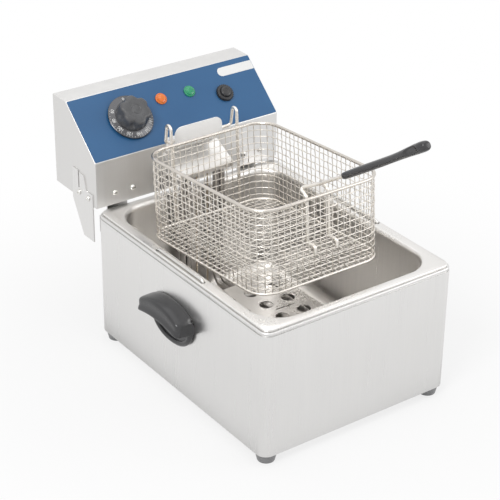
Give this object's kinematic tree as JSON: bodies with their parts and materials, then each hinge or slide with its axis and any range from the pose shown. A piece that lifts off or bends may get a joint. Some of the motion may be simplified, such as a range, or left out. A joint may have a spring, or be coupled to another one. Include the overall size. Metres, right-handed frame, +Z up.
{
  "type": "deep fryer",
  "caption": "Countertop electric deep fryer with a stainless cabinet, a lift-off control head with its heating element, an oil tank and a wire basket hung on its hook.",
  "frame": {"origin": "under the middle of the whole fryer, on the surface it stands on", "axes": "+Z up, -Y the front where the basket handle points, +X to the right as seen from the front"},
  "size_m": [0.315, 0.5332, 0.3925],
  "materials": {
    "steel_sheet": "brushed stainless sheet",
    "dark_steel": "dark coated bracket",
    "tank_steel": "satin drawn stainless",
    "element_metal": "satin tube, slightly darkened",
    "bulb_metal": "satin",
    "screw_steel": "bright domed heads",
    "bail_wire": "bright wire",
    "basket_wire": "bright plated wire",
    "black_plastic": "satin black",
    "collar_plastic": "satin black, ribbed",
    "gland_rubber": "matte black",
    "foot_rubber": "matte dark grey",
    "panel_paint": "printed blue, slightly glossy",
    "dial_metal": "satin grey with pale numbers",
    "shaft_metal": "turned",
    "lens_orange": "clear orange lens",
    "lens_green": "clear green lens",
    "switch_plastic": "pale moulded"
  },
  "bodies": {
    "cabinet": {"cabinet_wrap": "steel_sheet", "cabinet_rear_panel": "steel_sheet", "cabinet_base": "steel_sheet", "foot_screws": "screw_steel", "side_handle_screws": "screw_steel", "oil_tank": "tank_steel", "foot_front_left": "foot_rubber", "foot_front_right": "foot_rubber", "foot_rear_left": "foot_rubber", "foot_rear_right": "foot_rubber", "side_handle_left": "black_plastic", "side_handle_right": "black_plastic", "head_keeper_left": "steel_sheet", "head_keeper_right": "steel_sheet"},
    "control_head": {"head_shell": "steel_sheet", "head_back_cover": "steel_sheet", "head_base": "steel_sheet", "head_screws": "screw_steel", "back_cover_screws": "screw_steel", "control_label": "panel_paint", "element_hood": "tank_steel", "basket_hanger": "tank_steel", "heating_element": "element_metal", "element_flange": "tank_steel", "guard_plate": "tank_steel", "thermostat_body": "switch_plastic", "thermostat_bulb": "bulb_metal", "cutout_body": "switch_plastic", "cutout_bulb": "bulb_metal", "reset_bezel": "collar_plastic", "lamp_orange": "lens_orange", "lamp_green": "lens_green", "terminal_block": "switch_plastic", "cord_gland": "gland_rubber", "head_cheek_left": "steel_sheet", "head_cheek_right": "steel_sheet", "hook_tongue_left": "dark_steel", "hook_tongue_right": "dark_steel"},
    "knob": {"thermostat_knob": "black_plastic", "dial_skirt": "dial_metal", "thermostat_shaft": "shaft_metal"},
    "reset": {"reset_button": "black_plastic"},
    "basket": {"basket_base_wire": "basket_wire", "basket_grip": "black_plastic", "basket_handle_wire": "basket_wire", "basket_hook": "basket_wire", "basket_net_floor": "basket_wire", "basket_net_front": "basket_wire", "basket_net_front_left": "basket_wire", "basket_net_front_right": "basket_wire", "basket_net_left": "basket_wire", "basket_net_rear": "basket_wire", "basket_net_rear_left": "basket_wire", "basket_net_rear_right": "basket_wire", "basket_net_right": "basket_wire", "basket_rim": "basket_wire"},
    "bail_left": {"tank_bail_left": "bail_wire"},
    "bail_right": {"tank_bail_right": "bail_wire"}
  },
  "joints": [
    {"name": "head_lift", "type": "slide", "parent": "cabinet", "child": "control_head", "axis": [0, 0, 1], "range_m": [0, 0.2]},
    {"name": "knob_turn", "type": "hinge", "parent": "control_head", "child": "knob", "pos_m": [-0.0635, 0.19515, 0.26594], "axis": [0, -0.66, 0.7513], "range_deg": [-270, 0]},
    {"name": "reset_press", "type": "slide", "parent": "control_head", "child": "reset", "axis": [0, 0.66, -0.7513], "range_m": [0, 0.003], "stiffness_N_per_m": 400},
    {"name": "basket_lift", "type": "slide", "parent": "control_head", "child": "basket", "axis": [0, 0, 1], "range_m": [0, 0.15]},
    {"name": "bail_left_pull", "type": "slide", "parent": "cabinet", "child": "bail_left", "axis": [0, 0, 1], "range_m": [0, 0.025]},
    {"name": "bail_right_pull", "type": "slide", "parent": "cabinet", "child": "bail_right", "axis": [0, 0, 1], "range_m": [0, 0.025]}
  ]
}
